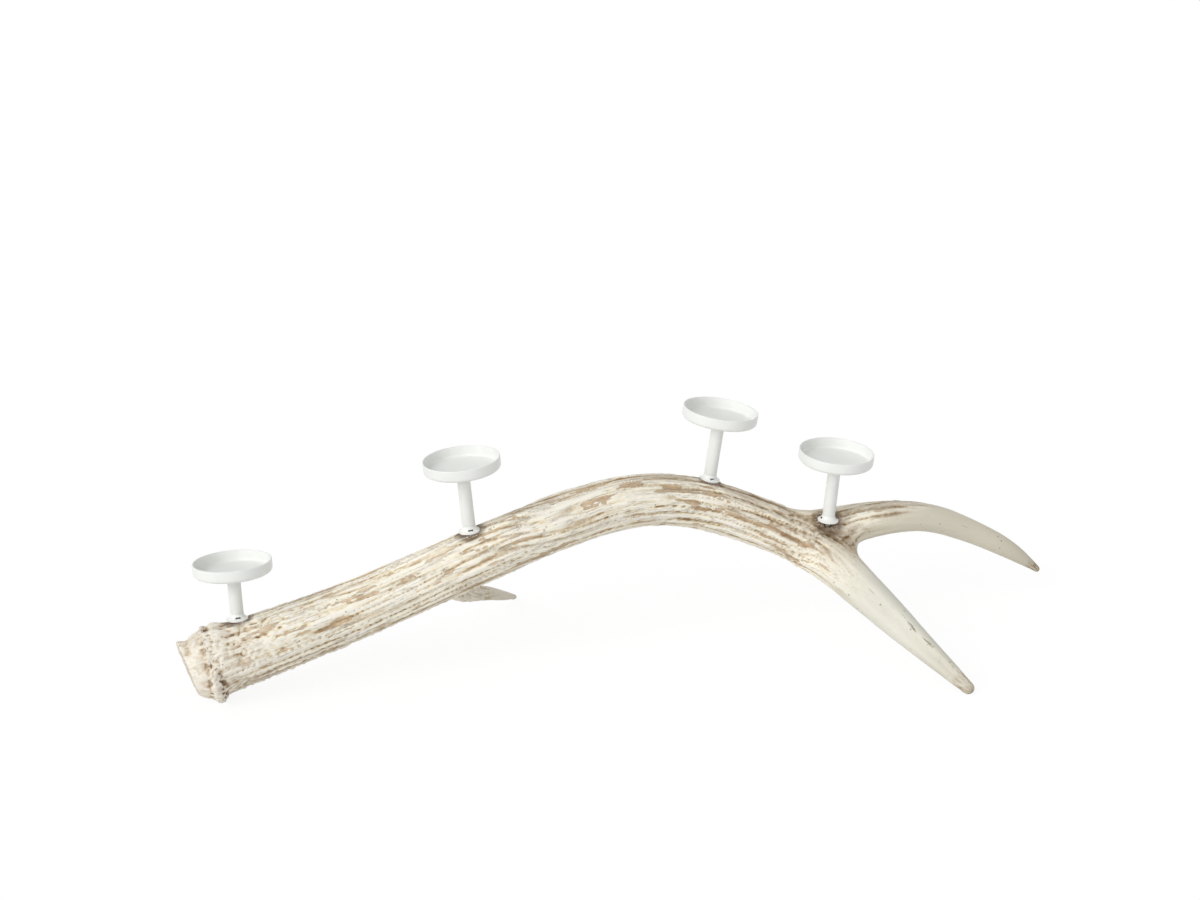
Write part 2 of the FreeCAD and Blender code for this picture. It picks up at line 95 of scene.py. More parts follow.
# The coronet's forms and the band of painted shade in its crevices: how far past its middle they lie along the
# beam, and their width
CREST, CREST_LIP, CREST_DENT, CREVICE_SHADE_BAND = (1.5, 4.5), (3, 3.2), (0, 3.2), (2, 5)
KNOT_BAND, ROOT_FILLING = (0, 5.5), (8.5, 6.0)
LIP_HEIGHT, FILLING_HEIGHT, DENT_DEPTH = 0.3, 2.3, 1.9

# The level about which knots, pearls and beads stand out, and what is left above of the pearls and of the
# painted shade in the crevices
KNOT_LEVEL, PEARL_LEVEL, BEAD_LEVEL = 0.4, 0.35, 0.3
PEARLS_ABOVE, CREVICE_SHADE_ABOVE = 0.30, 0.35
SMALLEST_PEARL, PEARL_EDGE = 0.45, (0.75, 0.12)

# Zones along the beam in millimetres: where each starts, is full, begins to fade and ends
CRACKED_ZONE, BEADED_ZONE = (CORONET - 5, CORONET + 3, 50, 120), (CORONET + 1, CORONET + 8, 90, 230)
FORK_STAIN, CROWN_TOP_ZONE = (360, 400, 455, 495), (290, 350, 400, 430)
# How dark the crown's up-facing tops get, and how much brown the brow tine's root gets: dirt with painted
# shade below the beam
CROWN_TOP_DARKENING, BROW_DIRT_AND_SHADE = 0.9, 0.6

# Zones along the beam or a tine that are empty at the first distance and full from the second on
PAST_BURR, ON_BURR = (CORONET + 4, CORONET + 13), (CORONET + 3, CORONET - 2)
BURR_TINT, END_FACE, DEEP_TAN = (70, 15), (16, 10), (190, 310)
REAR_CRUST, REAR_STAIN, BROW_CRUST, BROW_SMOOTH = (130, 85), (120, 60), (112, 65), (72, 115)
TIP_TINT, BROW_ROUGHNESS = 70, 0.8

# The same for the sine of the angle round the beam and for how far a surface faces up or to the end
BELOW, CRACKED_SIDE, BEADED_SIDE = (0.45, -0.35), (-0.3, 0.4), (-0.1, -0.7)
FORK_FACES_UP, CROWN_FACES_UP, FACES_END = (0.0, 0.8), (0.55, 1.0), (0.70, 0.92)

# The border of the rear tine's crust draws back to its top: from where, over which length and height
BORDER_START, BORDER_LENGTH, BORDER_LOW, BORDER_RISE, BORDER_EDGE = 15, 70, -0.9, 1.5, (-0.18, 0.18)

# Round a post's axis and foot and on the table: where the skin begins to differ from the CAD, and the brown
# stain with painted shade beneath the collar
SEAT_EDGE, HOLE_EDGE, HOLE_DEPTH, FOOT_LAYER = (7.6, 9.5), (4, 6), (2.5, 6), (0.3, 2.0)
SEAT_STAIN_AND_SHADE, SEAT_STAIN_AND_SHADE_DEPTH = (12.5, 7.5), (-14, -3)

# The front tine gets smooth, flat and nicked over these shares of the beam's length
SMOOTH_FROM, FLAT_FROM, NICKED_FROM = (0.725, 0.84), (0.76, 0.90), (0.83, 0.90)

# Its worn face: which way it looks, the cosine at its edges, their width, and the side of the nicked one
WORN_FACE = np.array([-0.37, -0.77, 0.52])
WORN_EDGE, EDGE_WIDTH, LEAST_FACING, LEAST_LENGTH = 0.78, 0.10, 0.05, 0.01
NICKED_SIDE, NICKED_TURN = np.array([0.55, 0.25, 0.80]), (0, 0.3)
FULLNESS, MOST_FILLED, FULL_BEFORE_TIP = 0.9, 2, (10, 25)

# How much the tips are drawn in and over which length, and how far the web between the tines reaches
TIP_SHARPNESS, TIP_LENGTH = (0.08, 0.04, 0.20), 26
WEB_GAP, WEB_PULL, WEB_REACH = 29, 10.5, 13.0
ROOT_SWELLING, SWELLING_PLACE, SWELLING_PULL, SWELLING_REACH = 8, (0, 4, 15), (0, 0, 3.5), 10

# How the lines on a branch drift round it: length of a swing, angle and place in the noise
DRIFT_LENGTH, DRIFT_TURN, DRIFT_ROW, DRIFT_SEED = 70, 0.25, 3.3, 5

# Metal pieces in millimetres
CUP_RADIUS, CUP_HEIGHT, CUP_SHEET, CUP_CORNER = 25, 8, 0.9, 2.4
RIVET_HOLE = 3.55
POST_RADIUS, POST_SHOULDER, SPIGOT_RADIUS, SPIGOT_FOOT = 4.25, 4.55, 3.45, 1.2
POST_LENGTHS = {"1": 30.5, "2": 42, "3": 42, "4": 42}
POST_BORE, POST_BORE_TOP, RIVET_BORE, RIVET_BORE_DEPTH = 2.55, 10.7, 1.85, 8.5
POST_TOP_ROUNDING, POST_FOOT_ROUNDING = 0.5, 0.1
BOLT_RADIUS, BOLT_DEPTH, BOLT_ABOVE, BOLT_POINT = 2.5, 22, 9.2, 4
BOLT_SHANK = (BOLT_DEPTH - 3, BOLT_DEPTH - 0.5)
POINT_WIDTH, TOP_WIDTH, TOP_TAPER = 0.3, 0.75, 2
MACHINE_PITCH, MACHINE_DEPTH, WOOD_PITCH, WOOD_DEPTH = 0.8, 0.45, 2.0, 0.8
THREAD_SIDES, THREAD_ROWS, LEAST_RADIUS = 20, 6, 0.2

# A narrow strip beside a bend that keeps its shading crisp, and a hair's breadth off the axis
CRISP_STRIP = 0.2
OFF_AXIS = RIVET_BORE / 50

# The camera that fits the photograph: place in metres, tilt in degrees, lens and sensor in millimetres
CAMERA_PLACE, CAMERA_TILT, CAMERA_LENS, CAMERA_SENSOR = (-0.0201, -1.6058, 0.645), 72.5, 78, 36

# Suns: direction, strength and spread in degrees. Sky: its strength as light and as it is seen
SUNS = {"key": ((0.85, 0.85, -0.62), 1.6, 40), "front_fill": ((-0.3, 1.0, -0.1), 0.35, 90)}
SKY_LIGHT, SKY_SEEN = 0.58, 1.0
FLOOR_REACH, FLOOR_GREY, FLOOR_GLOW, FLOOR_GLOW_SHARE = 30, 0.86, 1.06, 0.84

# Large odd numbers that scatter the bits of the repeatable noise
SCATTER_X, SCATTER_Y, SCATTER_Z, SCATTER_SEED = 374761393, 668265263, 1440662683, 974634777
FIRST_STIR, SECOND_STIR = 1274126177, 668265263
WORD = 0xFFFFFFFF


# Repeatable noise

def lattice(ix, iy, iz, seed):
    """A fixed value from 0 to 1 for every whole-numbered place."""
    mask = np.int64(WORD)
    h = (ix * SCATTER_X + iy * SCATTER_Y + iz * SCATTER_Z + seed * SCATTER_SEED) & mask
    h = ((h ^ (h >> 13)) * FIRST_STIR) & mask
    h = ((h ^ (h >> 16)) * SECOND_STIR) & mask
    return (h ^ (h >> 15)).astype(float) / WORD


def noise(points, seed):
    """Smooth noise from -1 to 1 at each point."""
    base = np.floor(points).astype(np.int64)
    f = points - base
    f = f * f * f * (f * (f * 6 - 15) + 10)
    total = np.zeros(len(points))
    for corner in product((0, 1), repeat=3):
        share = np.abs(1 - np.array(corner) - f).prod(axis=1)
        total += share * lattice(*(base + corner).T, seed)
    return total * 2 - 1


def cells(points, seed):
    """Distance to the nearest of one scattered dot per unit cube, and that dot's own value from 0 to 1."""
    base = np.floor(points).astype(np.int64)
    nearest = np.full(len(points), np.inf)
    value = np.zeros(len(points))
    for step in product((-1, 0, 1), repeat=3):
        cube = base + step
        shifts = [lattice(*cube.T, seed + axis) for axis in range(3)]
        away = np.linalg.norm(points - (cube + np.stack(shifts, axis=1)), axis=1)
        closer = away < nearest
        nearest[closer] = away[closer]
        value[closer] = lattice(*cube.T, seed + 3)[closer]
    return nearest, value


def ease(low, high, x):
    """0 below low, 1 above high, smooth between."""
    t = np.clip((x - low) / (high - low), 0, 1)
    return t * t * (3 - 2 * t)


def stretch(x, start, full, last, end):
    """0 outside start and end, 1 from full to last, smooth between."""
    return ease(start, full, x) * ease(end, last, x)


def bell(x, middle, width):
    return np.exp(-((x - middle) / width) ** 2)


class Grain(namedtuple("Grain", "cell seed height half_width", defaults=[None])):
    """A repeatable noise: size of its cells in millimetres, seed, height, and half width of its valleys."""

    def relief(self, points):
        """Smooth swellings and dents up to the height."""
        return self.height * noise(points / self.cell, self.seed)

    def valley(self, points, half_width):
        """1 at the bottom of narrow winding valleys, 0 on the flats between them."""
        return 1 - ease(0, half_width, np.abs(noise(points / self.cell, self.seed)))

    def trench(self, points):
        """The valleys, as deep as the height."""
        return self.height * self.valley(points, self.half_width)

    def cells(self, points):
        return cells(points / self.cell, self.seed)


# Noises of the beam's ridges and crust and of the tines, in cells across, up and along a branch
BROAD = Grain((9, 9, 130), 11, 0.25)
MAIN = Grain((3.8, 3.8, 150), 21, 0.88, 0.32)
SIDE = Grain((2.8, 2.8, 75), 31, 0.44, 0.38)
LONG_FLAKE = Grain((2.9, 2.9, 26), 35, 1.15)
SHORT_FLAKE = Grain((2.0, 2.0, 13), 36, 1.0)
FLAKE_EDGE = Grain((1.3, 1.3, 2.6), 37, 0.42)
CRUMBLE = Grain((2.1, 2.1, 3.0), 41, 0.18)
GRIT = Grain((1.2, 1.2, 1.7), 51, 0.14)
TINE_LINE = Grain((2.0, 2.0, 60), 61, 0.08, 0.3)
TINE_NICK = Grain((6, 6, 9), 71, 0.35)
TINE_WAVE = Grain((3, 3, 12), 75, 0.05)

# Height of a step in the crust and where its steps are, width of the valley-bottom lines that get painted
# shade, and the tines' nicks
FLAKE_STEP, FLAKED_OFF, LAID_THICK = 0.30, (-0.88, -0.62), (0.10, 0.40)
CREASE_WIDTH, SIDE_CREASE = 0.17, 0.75
NICK_EDGE, NICK_LIMIT = (0.32, 0.1), 0.82

# Noises of the coronet, the burr and the fork, in even cells
BEAD = Grain(2.9, 91, 1.3)
CREST_WAVE = Grain(6, 93, 0.8)
PEARL = Grain(3.0, 95, 2.6)
CRACK = Grain(2.6, 97, 0.9, 0.30)
CRACK_SWELL = Grain(4.5, 99, 0.35)
BURR_WAVE = Grain(7, 101, 0.40)
BURR_LUMP = Grain(2.4, 103, 0.26)
BURR_GRIT = Grain(1.2, 105, 0.14)
FORK_CRACK = Grain(2.7, 107, 0.8, 0.34)
KNOT = Grain(3.6, 109, 0.8)


# The antler's own coordinates

# Where points lie on a branch: distance along it, angle round it, its radius there, and how far out of it
Place = namedtuple("Place", "along angle radius out")


def smooth_line(points, steps):
    """Points on a smooth curve through the given ones."""
    ends = np.array(points, float)
    ends = np.vstack([2 * ends[0] - ends[1], ends, 2 * ends[-1] - ends[-2]])
    t = np.linspace(0, 1, steps, endpoint=False)[:, None]
    runs = []
    for a, b, c, d in zip(ends, ends[1:], ends[2:], ends[3:]):
        bend = 2 * a - 5 * b + 4 * c - d
        twist = 3 * b - a - 3 * c + d
        runs.append(0.5 * (2 * b + (c - a) * t + bend * t ** 2 + twist * t ** 3))
    return np.vstack(runs + [ends[-2:-1]])


def steady_sides(tangents):
    """For each tangent a direction square to it, turning as little as it can along the line."""
    side = np.array([0.0, 1.0, 0.0])
    sides = []
    for tangent in tangents:
        side = side - tangent * side.dot(tangent)
        side /= np.linalg.norm(side)
        sides.append(side)
    return np.array(sides)


class Branch:
    """A smooth middle line with places measured along it and round it."""

    def __init__(self, points, thickness, steps=60):
        self.line = smooth_line(points, steps)
        step = np.linalg.norm(np.diff(self.line, axis=0), axis=1)
        self.along = np.concatenate([[0], np.cumsum(step)])
        self.length = self.along[-1]
        self.radius = np.interp(self.along, *np.array(thickness, float).T) / 2
        self.tangent = np.gradient(self.line, axis=0)
        self.tangent /= np.linalg.norm(self.tangent, axis=1)[:, None]
        self.side = steady_sides(self.tangent)
        self.up = np.cross(self.tangent, self.side)

    def at(self, distance):
        return self.line[np.searchsorted(self.along, distance)]

    def nearest(self, distances):
        return self.at(np.clip(distances, 0, self.length))

    def measure(self, points, block=4000):
        """Where each point lies on the branch, worked out a block of points at a time."""
        index = np.zeros(len(points), int)
        for start in range(0, len(points), block):
            some = points[start:start + block]
            gap = ((some[:, None, :] - self.line[None, :, :]) ** 2).sum(axis=2)
            index[start:start + block] = gap.argmin(axis=1)
        off = points - self.line[index]
        along = self.along[index] + (off * self.tangent[index]).sum(axis=1)
        angle = np.arctan2((off * self.up[index]).sum(axis=1), (off * self.side[index]).sum(axis=1))
        out = np.linalg.norm(off, axis=1) / self.radius[index]
        return Place(along, angle, self.radius[index], out)


def make_beam():
    points = []
    for along, back, rise in BEAM_LINE:
        base = BURR_HEIGHT + (TIP_HEIGHT - BURR_HEIGHT) * along
        points.append((START[0] + along * SPAN, START[1] + back * SWEEP, base + rise * RISE))
    return Branch(points, BEAM_THICKNESS)


def make_tine(root, reach, tip_height, bow, shares, thickness):
    points = []
    for along, back, off in shares:
        height = root[2] + along * (tip_height - root[2]) + off * bow
        points.append((root[0] + along * reach[0], root[1] + back * reach[1], height))
    return Branch(points, thickness)


def make_branches():
    """The beam, which ends as the front tine, the rear tine and the brow tine."""
    beam = make_beam()
    rear = make_tine(beam.at(REAR_ROOT), REAR_REACH, REAR_TIP_HEIGHT, REAR_ARCH, REAR_LINE, REAR_THICKNESS)
    brow = make_tine(beam.at(BROW_ROOT), BROW_REACH, BROW_TIP_HEIGHT, -BROW_SAG, BROW_LINE, BROW_THICKNESS)
    return [beam, rear, brow]


# Meshes

def mesh_object(name, verts, faces):
    mesh = bpy.data.meshes.new(name)
    mesh.from_pydata(verts, [], faces)
    mesh.validate()
    mesh.polygons.foreach_set("use_smooth", [True] * len(mesh.polygons))
    obj = bpy.data.objects.new(name, mesh)
    bpy.context.scene.collection.objects.link(obj)
    return obj


def remeshed_copy(node, name, voxel):
    """A new object with an even skin of quads over a CAD node."""
    obj = bpy.data.objects.new(name, NODES[node].data.copy())
    bpy.context.scene.collection.objects.link(obj)
    modifier = obj.modifiers.new("even_skin", "REMESH")
    modifier.mode = "VOXEL"
    modifier.voxel_size = voxel
    bpy.context.view_layer.update()
    even = bpy.data.meshes.new_from_object(obj.evaluated_get(bpy.context.evaluated_depsgraph_get()))
    obj.modifiers.clear()
    obj.data = even
    return obj


def read(items, field, width, kind):
    """A field of a mesh's vertices, normals or edges as rows of numbers."""
    values = np.empty(len(items) * width, kind)
    items.foreach_get(field, values)
    return values.reshape(-1, width)


def set_attribute(mesh, name, values):
    """Give each vertex a number or a vector that a material can read."""
    kind, field = ("FLOAT", "value") if values.ndim == 1 else ("FLOAT_VECTOR", "vector")
    attribute = mesh.attributes.new(name, kind, "POINT")
    attribute.data.foreach_set(field, values.astype(np.float32).ravel())


# Surfaces of the beam and the tines, in millimetres above the CAD's own

def ring_places(along, angle, radius):
    """Places as if the branch were straight: across, up and along."""
    return np.stack([radius * np.cos(angle), radius * np.sin(angle), along], 1)


def wandering(place):
    """Places on a branch with its lines drifting round it a little, as they grew."""
    none = 0 * place.along
    drift = noise(np.stack([place.along / DRIFT_LENGTH, none, none + DRIFT_ROW], 1), DRIFT_SEED)
    return ring_places(place.along, place.angle + DRIFT_TURN * drift, place.radius)


def crust(ring):
    """How much whitewashed crust is left: under -0.75 it has flaked off, over 0.25 it lies thickest."""
    return LONG_FLAKE.relief(ring) + SHORT_FLAKE.relief(ring) + FLAKE_EDGE.relief(ring)


def creases(ring):
    """1 along the bottoms of the beam's valleys, in thin lines, where painted shade is laid."""
    return np.maximum(MAIN.valley(ring, CREASE_WIDTH), SIDE_CREASE * SIDE.valley(ring, CREASE_WIDTH))


def ridged(ring):
    """Beam surface: long narrow valleys, crust in steps with crisp edges, and a rough grain."""
    valleys = MAIN.trench(ring) + SIDE.trench(ring)
    left = crust(ring)
    steps = ease(*FLAKED_OFF, left) + ease(*LAID_THICK, left) - 1
    return BROAD.relief(ring) - valleys + FLAKE_STEP * steps + CRUMBLE.relief(ring) + GRIT.relief(ring)


def pearled(place, grain):
    """Rounded pearls set close together, 0 to 1."""
    away, value = grain.cells(ring_places(place.along, place.angle, place.radius))
    return (SMALLEST_PEARL + (1 - SMALLEST_PEARL) * value) * ease(*PEARL_EDGE, away)


def smooth_tine(place):
    """Worn ivory: faint lengthwise lines and a few small nicks."""
    ring = ring_places(place.along, place.angle, place.radius)
    away, value = TINE_NICK.cells(ring)
    nick = ease(*NICK_EDGE, away) * (value > NICK_LIMIT)
    return TINE_WAVE.relief(ring) - TINE_LINE.trench(ring) - TINE_NICK.height * nick


def rear_crust(place):
    """Crust on the rear tine: all round its root, then only along its top, 0 to 1."""
    border = BORDER_RISE * (place.along - BORDER_START) / BORDER_LENGTH + BORDER_LOW
    return ease(*BORDER_EDGE, np.sin(place.angle) - border) * ease(*REAR_CRUST, place.along)


def seat_distances(co):
    """For each post: how far every point is from its axis and above its foot, in millimetres."""
    for turn in TURNS.values():
        off = co - np.array(turn["pos_m"]) / MM
        axis = np.array(turn["axis"])
        height = off @ axis
        yield np.linalg.norm(off - height[:, None] * axis, axis=1), height


def calm_zones(co):
    """0 at the posts' seats and on the feet, where the surface stays as it is in the CAD. 1 elsewhere."""
    calm = ease(*FOOT_LAYER, co[:, 2])
    for away, height in seat_distances(co):
        beside_hole = ease(*HOLE_DEPTH, np.abs(height)) * ease(*HOLE_EDGE, away)
        calm *= np.maximum(ease(*SEAT_EDGE, away), beside_hole)
    return calm


# The antler's skin

class Skin:
    """The antler's even mesh: its points in millimetres, and where they lie on the beam and the tines."""

    def __init__(self, mesh):
        self.mesh = mesh
        self.co = read(mesh.vertices, "co", 3, float) / MM
        self.edges = read(mesh.edges, "vertices", 2, int)
        self.branches = make_branches()
        self.places = [branch.measure(self.co) for branch in self.branches]
        nearness = np.stack([-BRANCH_CONTRAST * place.out for place in self.places], 1)
        share = np.exp(nearness - nearness.max(axis=1, keepdims=True))
        self.share = (share / share.sum(axis=1, keepdims=True)).T
        self.on_beam, self.on_rear, self.on_brow = self.share
        self.calm = calm_zones(self.co)
        self.set_zones()

    def set_zones(self):
        """How far points are past the burr, below, on the smooth front tine and on the tines' rough crust."""
        beam, rear, brow = self.places
        self.along = beam.along
        self.beam_part = beam.along / self.branches[0].length
        self.worn = ease(*SMOOTH_FROM, self.beam_part)
        self.past_burr = ease(*PAST_BURR, beam.along)
        self.high = np.sin(beam.angle)
        self.low = ease(*BELOW, self.high)
        self.rear_rough = rear_crust(rear)
        self.brow_rough = BROW_ROUGHNESS * ease(*BROW_CRUST, brow.along)

    def relaxed(self, values, rounds):
        """Values evened out between neighbouring vertices."""
        first, second = self.edges.T
        size = len(values)
        count = np.maximum(np.bincount(self.edges.ravel(), minlength=size), 1)[:, None]
        flat = values.reshape(size, -1)
        for step in range(rounds):
            sums = [np.bincount(first, column[second], size) + np.bincount(second, column[first], size)
                    for column in flat.T]
            flat = np.stack(sums, 1) / count
        return flat.reshape(values.shape)

    def swell(self, points, normal, rounds):
        """How far each point stands out of its smoothed surroundings."""
        return ((points - self.relaxed(points, rounds)) * normal).sum(axis=1)

    def place_mesh(self, points):
        """Put the mesh's vertices at the points, and give their new normals."""
        self.mesh.vertices.foreach_set("co", (points * MM).ravel())
        self.mesh.update()
        return read(self.mesh.vertex_normals, "vector", 3, np.float32).astype(float)


def fork_pulls(beam, rear):
    """Where bone has grown between the fork's tines and over its root: middle, pull and reach of each."""
    out = 0
    while np.linalg.norm(beam.at(REAR_ROOT + out) - rear.at(out)) < WEB_GAP:
        out += 1
    crotch = (beam.at(REAR_ROOT + out) + rear.at(out)) / 2
    along = crotch - beam.at(REAR_ROOT)
    yield crotch, WEB_PULL * along / np.linalg.norm(along), WEB_REACH
    over_root = beam.at(REAR_ROOT + ROOT_SWELLING) + np.array(SWELLING_PLACE)
    yield over_root, np.array(SWELLING_PULL), SWELLING_REACH


def grow_over_crotches(skin):
    """The crotches of the fork and of the brow tine are grown over, not creased."""
    crotch = ease(*CROTCH_MIX, 4 * skin.on_beam * (1 - skin.on_beam)) * skin.calm
    evened = skin.relaxed(skin.co, CROTCH_ROUNDS)
    skin.co += skin.relaxed(crotch, RIB_ROUNDS)[:, None] * (evened - skin.co)
    for middle, pull, reach in fork_pulls(skin.branches[0], skin.branches[1]):
        away = np.linalg.norm(skin.co - middle, axis=1)
        skin.co += (skin.calm * bell(away, 0, reach))[:, None] * pull


def sharpen_tips(skin):
    for branch, place, share, sharper in zip(skin.branches, skin.places, skin.share, TIP_SHARPNESS):
        near = share * ease(branch.length - TIP_LENGTH, branch.length, place.along) * skin.calm
        skin.co += (sharper * near)[:, None] * (branch.nearest(place.along) - skin.co)


def fill_gutters(skin, normal):
    """The CAD's even gutters are partly filled, because finer ones are cut beside them."""
    swell = skin.swell(skin.co, normal, GUTTER_ROUNDS)
    even = skin.on_beam * skin.past_burr * (1 - skin.worn) * skin.calm
    skin.co -= normal * (GUTTER_FILL * even * (swell - skin.relaxed(swell, GUTTER_ROUNDS)))[:, None]


def at_coronet(along, past, width):
    return bell(along, CORONET + past, width)


def coronet_relief(skin):
    """The coronet stands out in pearls below and has grown into the beam above."""
    along, above = skin.along, 1 - skin.low
    lip = at_coronet(along, *CREST_LIP) * (LIP_HEIGHT * skin.low + CREST_WAVE.relief(skin.co))
    knots = above * at_coronet(along, *KNOT_BAND) * (KNOT.relief(skin.co) - KNOT_LEVEL)
    filled = FILLING_HEIGHT * at_coronet(along, *ROOT_FILLING) - DENT_DEPTH * at_coronet(along, *CREST_DENT)
    pearly = PEARL.height * at_coronet(along, *CREST) * (PEARLS_ABOVE + (1 - PEARLS_ABOVE) * skin.low)
    return lip + knots + above * filled + pearly * (pearled(skin.places[0], PEARL) - PEARL_LEVEL)


def burr_relief(skin):
    on_burr = ease(*ON_BURR, skin.along)
    return on_burr * (BURR_WAVE.relief(skin.co) + BURR_LUMP.relief(skin.co) + BURR_GRIT.relief(skin.co))


def edge_relief(skin):
    """Above, the crust by the burr is cracked; below, the beam is beaded along its edge."""
    cracked = stretch(skin.along, *CRACKED_ZONE) * ease(*CRACKED_SIDE, skin.high)
    beaded = stretch(skin.along, *BEADED_ZONE) * ease(*BEADED_SIDE, skin.high)
    cracks = CRACK_SWELL.relief(skin.co) - CRACK.trench(skin.co)
    return cracked * cracks + BEAD.height * beaded * (pearled(skin.places[0], BEAD) - BEAD_LEVEL)


def worn_face(skin):
    """The front tine is round, with a face worn flat: its relief, and where its nicked edge runs."""
    beam, place = skin.branches[0], skin.places[0]
    spoke = skin.co - beam.nearest(place.along)
    stands_out = np.linalg.norm(spoke, axis=1)
    spoke /= np.maximum(stands_out, LEAST_LENGTH)[:, None]
    facing = spoke @ WORN_FACE
    missing = np.clip(place.radius - stands_out, -MOST_FILLED, MOST_FILLED)
    filled = FULLNESS * ease(*FULL_BEFORE_TIP, beam.length - place.along) * missing
    flat = WORN_EDGE * place.radius / np.maximum(facing, LEAST_FACING)
    planed = ease(*FLAT_FROM, skin.beam_part) * np.maximum(0, stands_out + filled - flat)
    nicked = ease(*NICKED_TURN, spoke @ NICKED_SIDE) * ease(*NICKED_FROM, skin.beam_part)
    return skin.worn * filled - planed, bell(facing, WORN_EDGE, EDGE_WIDTH) * nicked


def fork_relief(skin):
    """Rough crust in the crotch of the fork."""
    crotch = ease(*FORK_MIX, 4 * skin.on_beam * skin.on_rear) * skin.calm
    return -crotch * FORK_CRACK.trench(skin.co)


def beam_relief(skin, worn_relief):
    place = skin.places[0]
    rough = coronet_relief(skin) + burr_relief(skin) + edge_relief(skin)
    rough += skin.past_burr * (1 - skin.worn) * ridged(wandering(place))
    return (1 - skin.worn) * rough + skin.worn * smooth_tine(place) + worn_relief + fork_relief(skin)


def tine_relief(place, rough):
    return rough * ridged(wandering(place)) + (1 - rough) * smooth_tine(place)


def whole_relief(skin, worn_relief):
    """The relief of the beam and both tines, each by its share, a little smoothed past the burr."""
    relief = skin.on_beam * beam_relief(skin, worn_relief)
    relief += skin.on_rear * tine_relief(skin.places[1], skin.rear_rough)
    relief += skin.on_brow * tine_relief(skin.places[2], skin.brow_rough)
    return relief + LAST_SMOOTHING * skin.past_burr * (skin.relaxed(relief, 1) - relief)


# Attributes that the antler's material reads

def seat_stain_and_shade_marks(skin):
    """1 round the foot of each post: brown stain, with painted shade beneath its collar."""
    seat_stain_and_shade = 0
    for away, height in seat_distances(skin.co):
        # Brown stain and painted shade close round the foot, below the collar
        seat_stain_and_shade = np.maximum(seat_stain_and_shade, ease(*SEAT_STAIN_AND_SHADE, away) * ease(*SEAT_STAIN_AND_SHADE_DEPTH, height))
    return seat_stain_and_shade


def tip_marks(skin):
    """1 at the tips of the front and rear tines."""
    tip = 0
    for branch, place, share in zip(skin.branches[:2], skin.places, skin.share):
        tip = np.maximum(tip, share * ease(branch.length - TIP_TINT, branch.length, place.along))
    return tip


def stain_and_shade_marks(skin, normal):
    """Dirt on top of the fork and of the rear tine, a darker brown on the up-facing tops of the beam before
    the fork, and on the brow tine's root brown dirt with painted shade below the beam.
    """
    fork_top = stretch(skin.along, *FORK_STAIN) * ease(*FORK_FACES_UP, normal[:, 2])
    # Darker brown on the crown's up-facing tops
    crown_top = CROWN_TOP_DARKENING * stretch(skin.along, *CROWN_TOP_ZONE) * ease(*CROWN_FACES_UP, normal[:, 2])
    rear_top = skin.rear_rough * ease(*REAR_STAIN, skin.places[1].along)
    stain_and_shade = skin.on_beam * np.maximum(fork_top, crown_top) + skin.on_rear * rear_top
    # The brow tine's rough root: brown dirt with painted shade below the beam
    return np.clip(stain_and_shade + BROW_DIRT_AND_SHADE * skin.on_brow * skin.brow_rough, 0, 1)


def tine_marks(skin):
    """1 on the smooth ivory of the tines."""
    smooth_brow = ease(*BROW_SMOOTH, skin.places[2].along)
    tine = skin.on_beam * skin.worn + skin.on_rear * (1 - skin.rear_rough) + skin.on_brow * smooth_brow
    return np.clip(tine, 0, 1)


def line_marks(skin):
    """The drawn-out grain, the crust that is left and the valley bottoms that get painted shade, each branch's
    by its share.
    """
    grain = left = crease_shade = 0
    for place, share in zip(skin.places, skin.share):
        ring = wandering(place)
        grain += share[:, None] * ring_places(place.along / GRAIN_STRETCH, place.angle, place.radius)
        left += share * crust(ring)
        crease_shade += share * creases(ring)
    return grain, left, crease_shade


def set_marks(skin, shaped, normal, arris):
    """Write what the material needs to know of each vertex."""
    beam, along = skin.on_beam, skin.along
    close = skin.swell(shaped, normal, RIB_ROUNDS)
    wide = skin.swell(shaped, normal, GUTTER_ROUNDS)
    facing_end = ease(*FACES_END, -normal @ skin.branches[0].tangent[0])
    # The crevices' painted shade is strongest on the coronet's lower half
    crevices = CREVICE_SHADE_ABOVE + (1 - CREVICE_SHADE_ABOVE) * skin.low
    grain, left, crease_shade = line_marks(skin)
    marks = {
        "height": np.clip(0.5 + CLOSE_WEIGHT * close + WIDE_WEIGHT * wide, 0, 1),
        "crust": 0.5 + CRUST_WEIGHT * left,
        "crease_shade": crease_shade * skin.past_burr,
        "tine": tine_marks(skin),
        "front_tine": beam * skin.worn,
        "arris": beam * arris,
        "stain_and_shade": stain_and_shade_marks(skin, normal),
        "burr": beam * ease(*BURR_TINT, along),
        "crevice_shade": beam * at_coronet(along, *CREVICE_SHADE_BAND) * crevices,
        "seat_stain_and_shade": seat_stain_and_shade_marks(skin),
        "crown": beam * ease(*DEEP_TAN, along),
        "end_face": beam * ease(*END_FACE, along) * facing_end,
        "tip": tip_marks(skin),
        "grain": grain,
    }
    for name, values in marks.items():
        set_attribute(skin.mesh, name, values)


def make_antler():
    """The antler's skin: the CAD solid with its ridges, pearls and wear worked into the mesh."""
    obj = remeshed_copy("antler", "antler_skin", VOXEL)
    mesh = obj.data
    skin = Skin(mesh)
    grow_over_crotches(skin)
    sharpen_tips(skin)
    normal = skin.place_mesh(skin.co)
    fill_gutters(skin, normal)
    worn_relief, arris = worn_face(skin)
    shaped = skin.co + normal * (whole_relief(skin, worn_relief) * skin.calm)[:, None]
    shaped[:, 2] = np.maximum(shaped[:, 2], 0)
    normal = skin.place_mesh(shaped)
    set_marks(skin, shaped, normal, arris)
    mesh.polygons.foreach_set("use_smooth", [True] * len(mesh.polygons))
    mesh.materials.clear()
    mesh.materials.append(antler_material())
    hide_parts("antler")
    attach(obj, "antler")


# Turned and threaded metal

